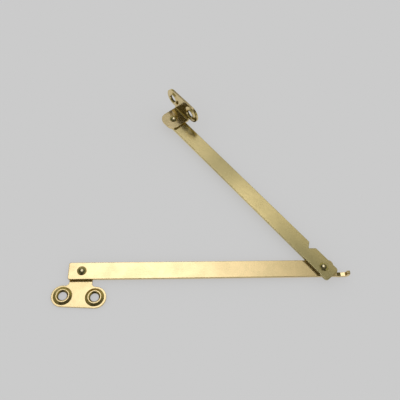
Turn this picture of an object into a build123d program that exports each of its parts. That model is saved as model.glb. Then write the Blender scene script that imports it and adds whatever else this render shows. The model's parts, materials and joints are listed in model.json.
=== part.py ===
from build123d import *
import os

# One folding stay for a flap or lid, lying half folded on the back of its side plate.
# Two flat arms turn on a rivet at the elbow. Each far end turns on a T-shaped screw plate.
# Millimetres, +Z up. The origin lies midway between the side plate's two screw holes, on its back
# face. +X runs along that hole line, and +Y from it to the rivet that the lower arm turns on.

# Screw plates of the side plate and the flap bracket
plate_sheet = 1.2
plate_length = 28.4
plate_width = 11.4
screw_spacing = 16.5

# Collar pushed up round each screw hole, countersunk inside and hollow behind
screw_hole = 4.5
collar_base = 9.8
collar_crest = 7.0
collar_height = 0.85
sink_mouth = 6.0
hollow_mouth = 8.2
hollow_floor = 5.8
hollow_depth = 0.65

# Neck of the side plate
side_setback = 13.5        # from the hole line to the rivet
side_neck_width = 12.0
side_neck_end = 5.2        # past the rivet
side_neck_round = 4.2
side_neck_root = 1.8       # radius of the hollow corner between neck and plate

# Neck of the flap bracket, bent square below its hole line
bracket_reach = 7.8        # from the rivet to the back face
bracket_rise = 8.6         # from the flange's underside to the hole line
flap_neck_width = 13.2
flap_neck_end = 6.8
flap_neck_round = 4.8
flap_neck_root = 0.4
bend_inside = 0.8

# Strip of both arms
arm_sheet = 1.6
arm_width = 9.5
arm_edge = 0.15            # bevel round the strip's edges
lower_arm_pitch = 130.0
upper_arm_pitch = 130.0

# Ends of the arms, past their rivets
heel_length = 7.0
heel_corner = 1.0
toe_length = 6.0
toe_corner = 2.6
knuckle_length = 6.6
knuckle_corner = 1.8

# Stop finger of the lower arm, and the notch in the upper arm that closes on it
stop_reach = 12.8          # from the elbow rivet to the middle of the upturned lip
finger_width = 2.2
finger_root = 0.5          # radius of the hollow corner at the finger's root
finger_dip = 0.36          # depth of the shallow dip before the finger turns up
dip_length = 4.2
lip_bend = 0.7             # inside radius where the finger turns up
lip_stand = 0.5            # height of the lip above the upper arm
lip_corner = 0.5
notch_slope = 0.8          # widening of each flank toward the mouth
notch_root = 0.3           # radius at the bottom of the notch
stop_clearance = 0.06      # along the arms, between lip and notch when they lie straight

# Rivets
rivet_shank = 3.2
rivet_shoulder = 5.6
shoulder_height = 0.45     # keeps the two sheets apart
rivet_head = 5.0
rivet_head_height = 1.3
rivet_tail = 4.6
rivet_rim = 0.2            # upright edge below each dome
tail_bevel = 0.25
elbow_tail_height = 0.9
flap_tail_height = 0.4
flush_tail = 4.9           # width of the flush tail in the back of the side plate
flush_tail_depth = 0.6

# Fits
running_gap = 0.05         # between faces that turn on each other
rivet_clearance = 0.05     # all round each shank

# Rest position, in degrees
lower_arm_turn = 3.3       # from the side plate's hole line
upper_arm_turn = 128.4     # from the lower arm
bracket_turn = 0.6         # from the upper arm to the bracket's hole line

# Sizes and places that follow from the ones above
shoulder_gap = shoulder_height + running_gap
side_pivot = Pos(0, side_setback, 0)
lower_arm_place = side_pivot * Pos(0, 0, plate_sheet + shoulder_gap) * Rot(0, 0, lower_arm_turn)
elbow = lower_arm_place * Pos(lower_arm_pitch, 0, 0)
upper_arm_place = elbow * Pos(0, 0, arm_sheet + shoulder_gap) * Rot(0, 0, upper_arm_turn)
flap_pivot = upper_arm_place * Pos(upper_arm_pitch, 0, 0)
bracket_place = flap_pivot * Pos(0, 0, arm_sheet + running_gap) * Rot(0, 0, bracket_turn)
standing = (Align.CENTER, Align.CENTER, Align.MIN)


def turned(*outline):
    """Solid turned about Z from half its section, drawn with X as radius and Y as height."""
    return revolve(Plane.XZ * make_face(outline), Axis.Z)


def corners(sketch, *points):
    """Corners of a flat outline at the given points."""
    return [sketch.vertices().sort_by_distance((*point, 0))[0] for point in points]


def shank_hole():
    """Hole through one sheet, loose on a rivet's shank."""
    return Cylinder(rivet_shank / 2 + rivet_clearance, 2 * (arm_sheet + plate_sheet))


def collar():
    """Ring of metal that stands up from the plate round a screw hole."""
    crest = plate_sheet + collar_height
    root = plate_sheet / 2
    outline = Polyline(
        (0, root),
        (collar_base / 2, root),
        (collar_base / 2, plate_sheet),
        (collar_crest / 2, crest),
        (0, crest),
        close=True,
    )
    return turned(outline)


def screw_way():
    """Room for one screw: the hollow behind its collar, the hole and the countersink."""
    crest = plate_sheet + collar_height
    hole = screw_hole / 2
    outline = Polyline(
        (0, 0),
        (hollow_mouth / 2, 0),
        (hollow_floor / 2, hollow_depth),
        (hole, hollow_depth),
        (hole, crest - (sink_mouth / 2 - hole)),
        (sink_mouth / 2, crest),
        (0, crest),
        close=True,
    )
    return turned(outline)


def screw_plate(neck_width, neck_length, neck_root):
    """Rounded plate with two collared screw holes and a neck that leaves it along +Y."""
    outline = SlotOverall(plate_length, plate_width)
    outline += Pos(0, neck_length / 2) * Rectangle(neck_width, neck_length)
    roots = corners(outline, *[(side * neck_width / 2, plate_width / 2) for side in (-1, 1)])
    plate = extrude(fillet(roots, neck_root), plate_sheet)
    places = [Pos(side * screw_spacing / 2, 0, 0) for side in (-1, 1)]
    for place in places:
        plate += place * collar()
    for place in places:
        plate -= place * screw_way()
    return plate


def neck_tips(plate):
    """The two upright edges at the far end of a neck."""
    return plate.edges().filter_by(Axis.Z).sort_by(Axis.Y)[-2:]


def dome(width, height):
    """Low rivet head standing on Z = 0, with an upright rim."""
    rise = height - rivet_rim
    radius = ((width / 2) ** 2 + rise**2) / (2 * rise)
    return Pos(0, 0, height - radius) * Sphere(radius) & Cylinder(width / 2, height, align=standing)


def closed_tail(height):
    """Rivet tail hammered flat below Z = 0, with a beveled rim."""
    tail = Cylinder(rivet_tail / 2, height, align=(Align.CENTER, Align.CENTER, Align.MAX))
    return chamfer(tail.edges().sort_by(Axis.Z)[0], tail_bevel)


def flush_cone():
    """Tail hammered flush into its countersink, and the countersink itself."""
    return Cone(flush_tail / 2, rivet_shank / 2, flush_tail_depth, align=standing)


def rivet(head_seat, tail):
    """Domed rivet whose head sits at the given height above its tail."""
    shank = Cylinder(rivet_shank / 2, head_seat, align=standing)
    return shank + tail + Pos(0, 0, head_seat) * dome(rivet_head, rivet_head_height)


def shouldered_rivet(held, turning, tail):
    """Rivet fixed in one sheet, with a shoulder under the other one, which turns on it."""
    shoulder = Pos(0, 0, held) * Cylinder(rivet_shoulder / 2, shoulder_height, align=standing)
    return rivet(held + shoulder_gap + turning + running_gap, tail) + shoulder


def side_plate():
    """T-shaped plate that screws flat to the side of the cabinet."""
    plate = screw_plate(side_neck_width, side_setback + side_neck_end, side_neck_root)
    plate = fillet(neck_tips(plate), side_neck_round)
    return plate - side_pivot * shank_hole() - side_pivot * flush_cone()


def flap_bracket():
    """Screw plate whose neck is bent square, so that its hole line stands above the rivet."""
    front = plate_sheet - bracket_reach
    plate_foot = bracket_rise - plate_width / 2
    side_view = Polyline(
        (flap_neck_end, 0),
        (-bracket_reach, 0),
        (-bracket_reach, plate_foot),
        (front, plate_foot),
        (front, plate_sheet),
        (flap_neck_end, plate_sheet),
        close=True,
    )
    side_view = make_face(side_view)
    side_view = fillet(corners(side_view, (-bracket_reach, 0)), bend_inside + plate_sheet)
    side_view = fillet(corners(side_view, (front, plate_sheet)), bend_inside)
    flange = extrude(Plane.YZ * side_view, flap_neck_width / 2, both=True)
    flange = fillet(neck_tips(flange), flap_neck_round)
    straight_neck = bracket_rise - bend_inside - plate_sheet
    stood_up = Pos(0, -bracket_reach, bracket_rise) * Rot(-90, 0, 0)
    face = stood_up * screw_plate(flap_neck_width, straight_neck, flap_neck_root)
    return flange + face - shank_hole()


def lower_arm():
    """Strip from the side plate to the elbow, with a finger turned up as a stop."""
    start = -heel_length
    end = lower_arm_pitch + toe_length
    edge = arm_width / 2
    dip_start = lower_arm_pitch + stop_reach - arm_sheet / 2 - lip_bend - dip_length
    outline = Pos((start + end) / 2, 0) * Rectangle(end - start, arm_width)
    outline = fillet(corners(outline, (start, edge), (start, -edge)), heel_corner)
    outline = fillet(corners(outline, (end, edge)), toe_corner)
    finger = Rectangle(dip_start - end, finger_width)
    outline += Pos((end + dip_start) / 2, finger_width / 2 - edge) * finger
    outline = fillet(corners(outline, (end, finger_width - edge)), finger_root)
    arm = extrude(outline, arm_sheet)
    arm = chamfer(long_edges(arm), arm_edge) + Pos(dip_start, -edge, 0) * stop_lip()
    for pivot in (0, lower_arm_pitch):
        arm -= Pos(pivot, 0, 0) * shank_hole()
    return arm


def stop_lip():
    """End of the stop finger, lying along +X: a shallow dip, then the lip that stands up in Z."""
    rise = arm_sheet + shoulder_gap + arm_sheet + lip_stand
    bend_outside = lip_bend + arm_sheet
    outside = CenterArc((dip_length, bend_outside), bend_outside, 270, 90)
    inside = CenterArc((dip_length, bend_outside), lip_bend, 270, 90)
    upright = Polyline(
        outside @ 1,
        (dip_length + bend_outside, rise),
        (dip_length + lip_bend, rise),
        inside @ 1,
    )
    dip = Polyline(
        inside @ 0,
        (dip_length / 2, arm_sheet - finger_dip),
        (0, arm_sheet),
        (0, 0),
        (dip_length / 2, -finger_dip),
        outside @ 0,
    )
    side_view = make_face((outside, upright, inside, dip))
    lip = extrude(Plane.XZ * side_view, -finger_width)
    return fillet(lip.edges().filter_by(Axis.X).sort_by(Axis.Z)[-2:], lip_corner)


def notch():
    """V cut into the upper arm's edge, rounded at its bottom, where the lip fits in."""
    edge = arm_width / 2
    at_lip = arm_sheet / 2 + stop_clearance
    mouth = at_lip + finger_width * notch_slope
    bottom = (0, mouth / notch_slope - edge)
    outline = make_face(Polyline((-mouth, -edge), bottom, (mouth, -edge), close=True))
    return Pos(stop_reach, 0) * fillet(corners(outline, bottom), notch_root)


def upper_arm():
    """Strip from the elbow to the flap bracket, notched where it closes on the stop."""
    start = -knuckle_length
    edge = arm_width / 2
    outline = Pos((start + upper_arm_pitch) / 2, 0) * Rectangle(upper_arm_pitch - start, arm_width)
    outline += Pos(upper_arm_pitch, 0) * Circle(edge)
    outline = fillet(corners(outline, (start, edge), (start, -edge)), knuckle_corner)
    arm = extrude(outline - notch(), arm_sheet)
    arm = chamfer(long_edges(arm), arm_edge)
    for pivot in (0, upper_arm_pitch):
        arm -= Pos(pivot, 0, 0) * shank_hole()
    return arm


def long_edges(arm):
    """The strip's edges along its length, longer than it is wide."""
    return arm.edges().filter_by(Axis.X).filter_by(lambda line: line.length > arm_width)


elbow_tail = closed_tail(elbow_tail_height)
flap_tail = closed_tail(flap_tail_height)
flap_seat = arm_sheet + running_gap + plate_sheet + running_gap
parts = {
    "side_plate": side_plate(),
    "side_plate_rivet": side_pivot * shouldered_rivet(plate_sheet, arm_sheet, flush_cone()),
    "lower_arm": lower_arm_place * lower_arm(),
    "elbow_rivet": elbow * shouldered_rivet(arm_sheet, arm_sheet, elbow_tail),
    "upper_arm": upper_arm_place * upper_arm(),
    "flap_bracket_rivet": flap_pivot * rivet(flap_seat, flap_tail),
    "flap_bracket": bracket_place * flap_bracket(),
}

os.makedirs("parts", exist_ok=True)
for name, part in parts.items():
    export_step(part, f"parts/{name}.step")
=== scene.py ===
import json
import math

import bpy
from mathutils import Matrix, Vector

# A brass folding stay on a pale floor, under soft studio light. Metres, in the CAD model's frame.

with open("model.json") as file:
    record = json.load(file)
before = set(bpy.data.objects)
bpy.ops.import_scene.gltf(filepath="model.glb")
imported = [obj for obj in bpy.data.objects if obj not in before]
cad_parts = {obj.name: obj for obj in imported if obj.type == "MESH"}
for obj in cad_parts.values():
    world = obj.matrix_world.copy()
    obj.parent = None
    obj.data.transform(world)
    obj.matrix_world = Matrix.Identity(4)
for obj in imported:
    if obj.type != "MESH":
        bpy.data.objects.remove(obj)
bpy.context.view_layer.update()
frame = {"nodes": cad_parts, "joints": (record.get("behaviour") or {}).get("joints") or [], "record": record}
nodes = frame["nodes"]
scene = bpy.context.scene

MM = 0.001

# Pivots and directions at rest, for grain and wear along each piece's own axes
joints = {joint["name"]: Vector(joint["pos_m"]) for joint in frame["joints"]}
SIDE_PIVOT = joints["side_plate_pivot"]
ELBOW = joints["elbow"]
FLAP_PIVOT = joints["flap_bracket_pivot"]
LOWER_TURN = math.atan2(ELBOW.y - SIDE_PIVOT.y, ELBOW.x - SIDE_PIVOT.x)
UPPER_TURN = math.atan2(FLAP_PIVOT.y - ELBOW.y, FLAP_PIVOT.x - ELBOW.x)
RIVET_TURN = 0.4

# Screw holes, in millimetres: from the middle of their plate, up from the bracket's pivot, and radius
mounts = {mount["name"]: mount for mount in frame["record"]["mounts"]}
hole_sizes = mounts["side_plate_screw_holes"]["dims"]
HOLE_REACH = hole_sizes["spacing_x_mm"] / 2
HOLE_RISE = (mounts["bracket_hole_far"]["pos_m"][2] - FLAP_PIVOT.z) / MM
HOLE_RADIUS = hole_sizes["hole_r_mm"]

# Painted shade on the holes' walls, in millimetres past the radius: full up to here, and gone by here
WALL_FULL = 0.10
WALL_GONE = 0.45

# Brass in linear light: where it is bright, and where a film has dulled it
LOWER_BRASS = ((0.92, 0.72, 0.372, 1), (0.835, 0.668, 0.336, 1))
UPPER_BRASS = ((0.93, 0.765, 0.358, 1), (0.83, 0.685, 0.315, 1))
PLATE_BRASS = ((0.83, 0.65, 0.33, 1), (0.75, 0.60, 0.295, 1))
BRACKET_BRASS = ((0.86, 0.69, 0.36, 1), (0.72, 0.585, 0.29, 1))
RIVET_BRASS = ((0.77, 0.665, 0.40, 1), (0.65, 0.56, 0.32, 1))

# Brass for painted shade on the upper arm, worn brass on rubbed edges, brass for painted shade on the holes'
# walls, and how far wear covers an edge
PAINTED_SHADE_BRASS = (0.49, 0.425, 0.20, 1)
WORN_BRASS = (0.96, 0.84, 0.56, 1)
HOLE_SHADE_BRASS = (0.16, 0.125, 0.05, 1)
WORN_COVER = 0.5

# Surface detail: how often each pattern repeats in a millimetre
FILM_SCALE = 0.11
SPECK_SCALE = 1.7
FINE_SCALE = 5.0
GRAIN_SCALE = (0.12, 5.5, 1.0)
RUB_SCALE = 0.6
DING_SCALE = 0.55
SWELL_SCALE = 0.35

# Surface detail: how far film and specks take the colour from bright to dulled
FILM_DIMNESS = 0.65
SPECK_DIMNESS = 0.35

# Surface detail: what each pattern adds to the roughness
FILM_ROUGHNESS = 0.05
SPECK_ROUGHNESS = 0.06
GRAIN_ROUGHNESS = 0.05
RUB_ROUGHNESS = -0.04

# Surface detail: how high each pattern stands, as a share of the bump's depth
FINE_HEIGHT = 0.35
GRAIN_HEIGHT = 0.6
SWELL_HEIGHT = 1.4
BUMP_DEPTH = 0.06 * MM
BUMP_STRENGTH = 0.16

# Floor: size, middle, and its own grey, which is the part of its level that a shadow can take away
FLOOR_RADIUS = 3.0
FLOOR_MIDDLE = (0.06, 0.06, 0.0)
FLOOR_GREY = 0.17

# Levels: the background to the camera, the even light, and the panel and the room in reflections
BACKGROUND_LEVEL = 0.597
EVEN_LIGHT = 1.0
PANEL_LEVEL = 1.58
PANEL_CORE = (1.0, 1.005, 1.12, 1)
PANEL_RIM = (1.0, 0.97, 0.87, 1)
ROOM_TINT = (1.0, 0.97, 0.43, 1)
WALL_LEVEL = 0.30
CEILING_LEVEL = 0.035
LEFT_WALL_SHARE = 0.6
GAP_LEVEL = 0.02
GAP_FOOT_LEVEL = 0.36
GAP_TOP_LIFT = 0.05
WHITE = (1, 1, 1, 1)

# Camera, fitted to the photograph's edges and rivets: pixels, radians and metres
FOCAL_PX = 485.78
FRAME_PX = 400
CAMERA_YAW = -0.06316
CAMERA_TILT = 0.54171
CAMERA_ROLL = 0.10108
CAMERA_TARGET = Vector((61.71, 62.573, 0.0)) * MM
CAMERA_DISTANCE = 287.29 * MM


class Tree:
    """Adds shader nodes and joins them in one go."""

    def __init__(self, tree):
        self.tree = tree
        tree.nodes.clear()

    def add(self, kind, inputs=(), **settings):
        """A node with its settings. Each input is a plain value or the socket that feeds it."""
        node = self.tree.nodes.new(kind)
        for name, value in settings.items():
            setattr(node, name, value)
        for name, value in dict(inputs).items():
            if isinstance(value, bpy.types.NodeSocket):
                self.tree.links.new(value, node.inputs[name])
            else:
                node.inputs[name].default_value = value
        return node

    def math(self, operation, first, second=0.5, third=0.5):
        return self.add("ShaderNodeMath", {0: first, 1: second, 2: third}, operation=operation).outputs[0]

    def product(self, first, second):
        return self.math("MULTIPLY", first, second)

    def ramp(self, value, low, high, to_low=0.0, to_high=1.0, shape="LINEAR"):
        """A straight step from one level to another as the value goes from low to high."""
        inputs = {"Value": value, "From Min": low, "From Max": high, "To Min": to_low, "To Max": to_high}
        return self.add("ShaderNodeMapRange", inputs, interpolation_type=shape).outputs[0]

    def between(self, value, low, high, to_low=0.0, to_high=1.0):
        """The same step, smooth at both ends."""
        return self.ramp(value, low, high, to_low, to_high, shape="SMOOTHSTEP")

    def noise(self, vector, scale, detail=2.0, roughness=0.5, distortion=0.0):
        inputs = {
            "Vector": vector,
            "Scale": scale,
            "Detail": detail,
            "Roughness": roughness,
            "Distortion": distortion,
        }
        return self.add("ShaderNodeTexNoise", inputs).outputs["Fac"]

    def stretched(self, vector, scale):
        return self.add("ShaderNodeMapping", {"Vector": vector, "Scale": scale}).outputs[0]

    def axes(self, vector):
        return self.add("ShaderNodeSeparateXYZ", {0: vector}).outputs

    def mix_colour(self, factor, first, second):
        """A mix of two colours. A Mix node keeps them at inputs 6 and 7 and the result at output 2."""
        return self.add("ShaderNodeMix", {0: factor, 6: first, 7: second}, data_type="RGBA").outputs[2]


def local_mm(t, origin, turn):
    """Coordinates along a piece's own axes, in millimetres from the given point."""
    source = t.add("ShaderNodeTexCoord").outputs["Object"]
    inputs = {"Vector": source, "Location": origin, "Rotation": (0, 0, turn), "Scale": (MM, MM, MM)}
    return t.add("ShaderNodeMapping", inputs, vector_type="TEXTURE").outputs[0]


def brass(name, origin, turn, metal, rough, grain=0.0, ding=0.5, round_mm=0.30,
          tinted=None, tint=PAINTED_SHADE_BRASS):
    """Bright brass: patchy film and specks, grain along the strip, tumbling dings and rubbed edges.

    The function tinted, where there is one, says how far the tint covers each place: painted shade on the
    holes' walls, and painted shade with a darker band on the upper arm.
    """
    bright, filmed = metal
    material = bpy.data.materials.new(name)
    material.use_nodes = True
    t = Tree(material.node_tree)
    place = local_mm(t, origin, turn)

    film = t.between(t.noise(place, FILM_SCALE, 4.0, 0.55, 0.6), 0.38, 0.66)
    specks = t.between(t.noise(place, SPECK_SCALE, 3.0, 0.6), 0.56, 0.72)
    fine = t.noise(place, FINE_SCALE, 3.0, 0.6)
    lines = t.noise(t.stretched(place, GRAIN_SCALE), 1.0, 3.0, 0.7)
    swell = t.noise(place, SWELL_SCALE, 2.0)
    cells = t.add("ShaderNodeTexVoronoi", {"Vector": place, "Scale": DING_SCALE}, feature="F1")
    dings = t.between(cells.outputs["Distance"], 0.03, 0.30)

    # Edges are where the rounded normal leaves the flat one
    rounded = t.add("ShaderNodeBevel", {"Radius": round_mm * MM}, samples=6).outputs[0]
    flat = t.add("ShaderNodeNewGeometry").outputs["Normal"]
    likeness = t.add("ShaderNodeVectorMath", {0: rounded, 1: flat}, operation="DOT_PRODUCT")
    edge = t.between(likeness.outputs["Value"], 0.995, 0.90)
    rubbed = t.product(edge, t.between(t.noise(place, RUB_SCALE, 3.0), 0.35, 0.60, 0.25, 1.0))

    dimness = t.math("MULTIPLY_ADD", film, FILM_DIMNESS, t.product(specks, SPECK_DIMNESS))
    colour = t.mix_colour(dimness, bright, filmed)
    # Painted shade, and on the upper arm a darker band, where a tint function is given
    if tinted:
        colour = t.mix_colour(tinted(t, place), colour, tint)
    colour = t.mix_colour(t.product(rubbed, WORN_COVER), colour, WORN_BRASS)

    roughness = t.math("MULTIPLY_ADD", film, FILM_ROUGHNESS, rough)
    roughness = t.math("MULTIPLY_ADD", specks, SPECK_ROUGHNESS, roughness)
    roughness = t.math("MULTIPLY_ADD", t.between(lines, 0.3, 0.7), GRAIN_ROUGHNESS * grain, roughness)
    roughness = t.math("MULTIPLY_ADD", rubbed, RUB_ROUGHNESS, roughness)

    height = t.math("MULTIPLY_ADD", dings, ding, t.product(fine, FINE_HEIGHT))
    height = t.math("MULTIPLY_ADD", lines, GRAIN_HEIGHT * grain, height)
    height = t.math("MULTIPLY_ADD", swell, SWELL_HEIGHT, height)
    bump = t.add("ShaderNodeBump", {
        "Strength": BUMP_STRENGTH,
        "Distance": BUMP_DEPTH,
        "Height": height,
        "Normal": rounded,
    }).outputs[0]

    shader = t.add("ShaderNodeBsdfPrincipled", {
        "Base Color": colour,
        "Metallic": 1.0,
        "Roughness": roughness,
        "Normal": bump,
    })
    t.add("ShaderNodeOutputMaterial", {"Surface": shader.outputs[0]})
    return material


def upper_arm_shade_and_band(t, place):
    """Where the upper arm is painted darker: painted shade over the elbow end, a darker band mid-arm, and
    painted shade beside the bracket.

    In millimetres, x runs from the elbow to the bracket and y across the strip.
    """
    x, y, _ = t.axes(place)
    # Painted shade over the elbow end, strongest towards the strip's +y side
    elbow_shade = t.product(t.between(x, 54.0, 12.0), t.between(y, -4.5, 3.0, 0.48, 0.94))
    # A darker band centred 83 mm along the arm
    from_patch = t.math("ABSOLUTE", t.math("SUBTRACT", x, 83.0))
    patch = t.between(from_patch, 21.0, 3.0, 0.0, 0.56)
    # Painted shade beside the bracket, towards the strip's -y side
    bracket_shade = t.product(t.between(x, 110.0, 117.0), t.between(y, 1.0, -2.0, 0.0, 0.8))
    return t.math("MAXIMUM", t.math("MAXIMUM", elbow_shade, patch), bracket_shade)


def hole_wall_shade(t, along, aside):
    """Painted shade on the walls of two screw holes, from the distances along and beside the line between
    them.
    """
    off = t.math("SUBTRACT", t.math("ABSOLUTE", along), HOLE_REACH)
    radius = t.math("SQRT", t.math("MULTIPLY_ADD", off, off, t.product(aside, aside)))
    return t.between(radius, HOLE_RADIUS + WALL_GONE, HOLE_RADIUS + WALL_FULL)


def side_plate_holes(t, place):
    x, y, _ = t.axes(place)
    return hole_wall_shade(t, x, y)


def flap_bracket_holes(t, place):
    x, _, z = t.axes(place)
    return hole_wall_shade(t, x, t.math("SUBTRACT", z, HOLE_RISE))


def paint(name, material):
    """Gives a CAD node this material in place of its plain one."""
    slots = nodes[name].data.materials
    slots.clear()
    slots.append(material)


def floor():
    """Pale floor that keeps the stay's shadow, at one level for the camera and for reflections."""
    bpy.ops.mesh.primitive_circle_add(
        vertices=96, radius=FLOOR_RADIUS, fill_type="NGON", location=FLOOR_MIDDLE)
    disc = bpy.context.object
    disc.name = "floor"
    material = bpy.data.materials.new("floor")
    material.use_nodes = True
    t = Tree(material.node_tree)
    path = t.add("ShaderNodeLightPath").outputs
    seen = t.math("MAXIMUM", path["Is Camera Ray"], path["Is Glossy Ray"])
    grey = (FLOOR_GREY, FLOOR_GREY, FLOOR_GREY, 1)
    diffuse = t.add("ShaderNodeBsdfDiffuse", {"Color": grey}).outputs[0]
    strength = t.product(seen, BACKGROUND_LEVEL - FLOOR_GREY * EVEN_LIGHT)
    glow = t.add("ShaderNodeEmission", {"Color": WHITE, "Strength": strength}).outputs[0]
    both = t.add("ShaderNodeAddShader", {0: diffuse, 1: glow}).outputs[0]
    t.add("ShaderNodeOutputMaterial", {"Surface": both})
    disc.data.materials.append(material)


def soft_box(t, way):
    """The ceiling panel as it looks in each direction: brightest over the left, fading right and back.

    Its places are measured on a ceiling one unit up: across to the right, and deep to the back.
    """
    x, y, z = t.axes(way)
    rise = t.math("MAXIMUM", z, 0.02)
    across = t.math("DIVIDE", x, rise)
    deep = t.math("DIVIDE", y, rise)

    left_edge = t.between(across, -0.45, -0.21)
    fade_right = t.ramp(across, 0.37, -0.02, 0.12, 1.0)
    right_edge = t.between(across, 0.70, 0.40)
    width = t.product(t.product(left_edge, fade_right), right_edge)

    front_edge = t.between(deep, -0.22, 0.10)
    fade_back = t.between(deep, 0.575, 0.69, 1.0, 0.25)
    back_strip = t.between(deep, 0.71, 0.77, 0.0, 0.24)
    back_edge = t.between(deep, 0.78, 1.00, 1.0, 0.0)
    depth = t.product(t.product(front_edge, t.math("ADD", fade_back, back_strip)), back_edge)

    colour = t.mix_colour(width, PANEL_RIM, PANEL_CORE)
    return {"Color": colour, "Strength": t.product(t.product(width, depth), PANEL_LEVEL)}


def room(t, way):
    """The room round the panel: walls under a dark ceiling, dimmer at the left, and a dark gap in front.

    The gap is pale at its foot and a little lighter overhead.
    """
    x, y, z = t.axes(way)
    level_square = t.math("MULTIPLY_ADD", t.product(z, z), -1.0, 1.0)
    level_part = t.math("SQRT", t.math("MAXIMUM", level_square, 0.001))
    sideways = t.math("DIVIDE", x, level_part)
    heading = t.math("DIVIDE", y, level_part)

    left_dimming = t.between(sideways, -0.55, -0.92, 1.0, LEFT_WALL_SHARE)
    walls = t.product(t.between(z, 0.72, 0.46, CEILING_LEVEL, WALL_LEVEL), left_dimming)
    gap_foot = t.between(z, 0.25, 0.08, GAP_LEVEL, GAP_FOOT_LEVEL)
    gap_top = t.between(z, 0.64, 0.84, 0.0, GAP_TOP_LIFT)
    gap = t.math("ADD", gap_foot, gap_top)
    toward_gap = t.between(heading, -0.67, -0.92)
    return t.math("MULTIPLY_ADD", toward_gap, t.math("SUBTRACT", gap, walls), walls)


def studio():
    """Plain even light, with a soft ceiling panel and a dim room in what the metal reflects."""
    world = bpy.data.worlds.new("studio")
    scene.world = world
    world.use_nodes = True
    t = Tree(world.node_tree)
    way = t.add("ShaderNodeTexCoord").outputs["Generated"]
    path = t.add("ShaderNodeLightPath").outputs
    level = t.between(path["Is Camera Ray"], 0.0, 1.0, EVEN_LIGHT, BACKGROUND_LEVEL)
    plain = t.add("ShaderNodeBackground", {"Color": WHITE, "Strength": level}).outputs[0]
    panel = t.add("ShaderNodeBackground", soft_box(t, way)).outputs[0]
    walls = t.add("ShaderNodeBackground", {"Color": ROOM_TINT, "Strength": room(t, way)}).outputs[0]
    reflected = t.add("ShaderNodeAddShader", {0: panel, 1: walls}).outputs[0]
    seen = t.add("ShaderNodeMixShader", {0: path["Is Glossy Ray"], 1: plain, 2: reflected}).outputs[0]
    t.add("ShaderNodeOutputWorld", {"Surface": seen})


def camera():
    """The photograph's view, with the lens set for a frame FRAME_PX pixels wide."""
    data = bpy.data.cameras.new("camera")
    data.lens = FOCAL_PX / FRAME_PX * data.sensor_width
    data.clip_start = 0.01
    eye = bpy.data.objects.new("camera", data)
    yaw = Matrix.Rotation(CAMERA_YAW, 4, "Z")
    tilt = Matrix.Rotation(CAMERA_TILT, 4, "X")
    roll = Matrix.Rotation(CAMERA_ROLL, 4, "Z")
    back = Matrix.Translation((0, 0, CAMERA_DISTANCE))
    eye.matrix_world = Matrix.Translation(CAMERA_TARGET) @ yaw @ tilt @ roll @ back
    scene.collection.objects.link(eye)
    scene.camera = eye


# The side plate's screw holes take painted shade on their walls
paint("side_plate", brass(
    "plate_side", (0, 0, 0), 0.0, PLATE_BRASS, rough=0.19, ding=0.8,
    tinted=side_plate_holes, tint=HOLE_SHADE_BRASS))
paint("lower_arm", brass(
    "arm_lower", SIDE_PIVOT, LOWER_TURN, LOWER_BRASS, rough=0.16, grain=1.0))
# The upper arm takes painted shade at the elbow and beside the bracket, and a darker band mid-arm
paint("upper_arm", brass(
    "arm_upper", ELBOW, UPPER_TURN, UPPER_BRASS, rough=0.17, grain=1.0,
    tinted=upper_arm_shade_and_band, tint=PAINTED_SHADE_BRASS))
# The bracket's screw holes take painted shade on their walls
paint("flap_bracket", brass(
    "plate_flap", FLAP_PIVOT, UPPER_TURN, BRACKET_BRASS, rough=0.17, ding=0.8, round_mm=0.15,
    tinted=flap_bracket_holes, tint=HOLE_SHADE_BRASS))
rivets = {"side_plate_rivet": SIDE_PIVOT, "elbow_rivet": ELBOW, "flap_bracket_rivet": FLAP_PIVOT}
for rivet, pivot in rivets.items():
    paint(rivet, brass(rivet + "_metal", pivot, RIVET_TURN, RIVET_BRASS, rough=0.20, ding=0.6))

floor()
studio()
camera()
scene.view_settings.view_transform = "Standard"
